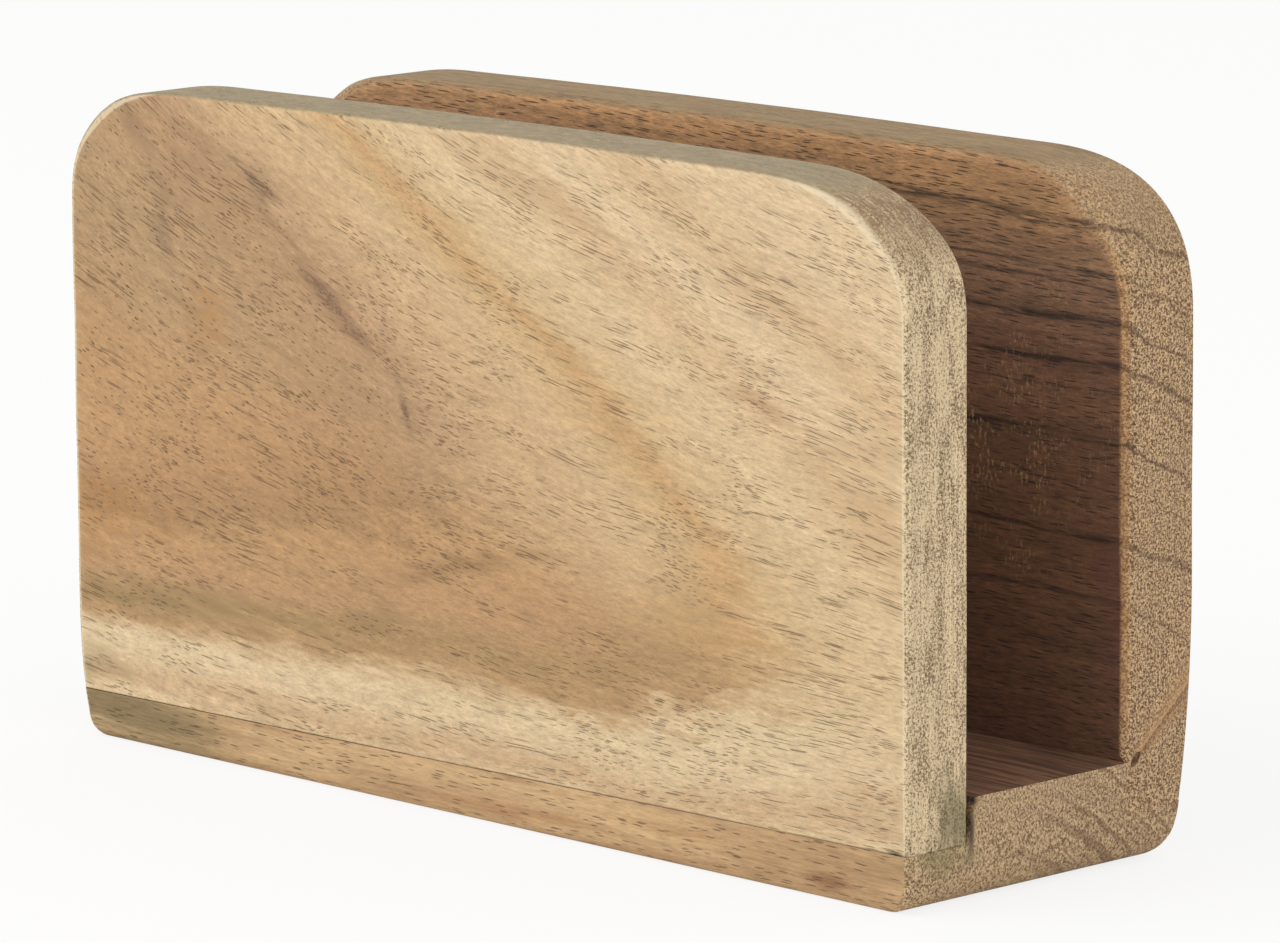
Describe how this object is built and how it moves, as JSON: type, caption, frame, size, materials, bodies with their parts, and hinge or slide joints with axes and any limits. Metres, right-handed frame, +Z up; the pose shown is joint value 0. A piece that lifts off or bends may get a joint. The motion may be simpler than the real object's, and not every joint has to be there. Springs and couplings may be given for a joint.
{
  "type": "napkin holder",
  "caption": "Open napkin holder of three solid wood boards: two upright rectangular boards with rounded top corners, glued into rabbets on a thick base.",
  "frame": {"origin": "middle of the resting face under the base", "axes": "+X along the napkin slot, -Y out of the front board's outer face, +Z up"},
  "size_m": [0.175, 0.058, 0.1004],
  "materials": {
    "front_board_wood": "sanded, unfinished",
    "back_board_wood": "sanded, unfinished",
    "base_wood": "sanded, unfinished"
  },
  "bodies": {
    "root": {"front_board": "front_board_wood", "back_board": "back_board_wood", "base": "base_wood"}
  },
  "joints": []
}
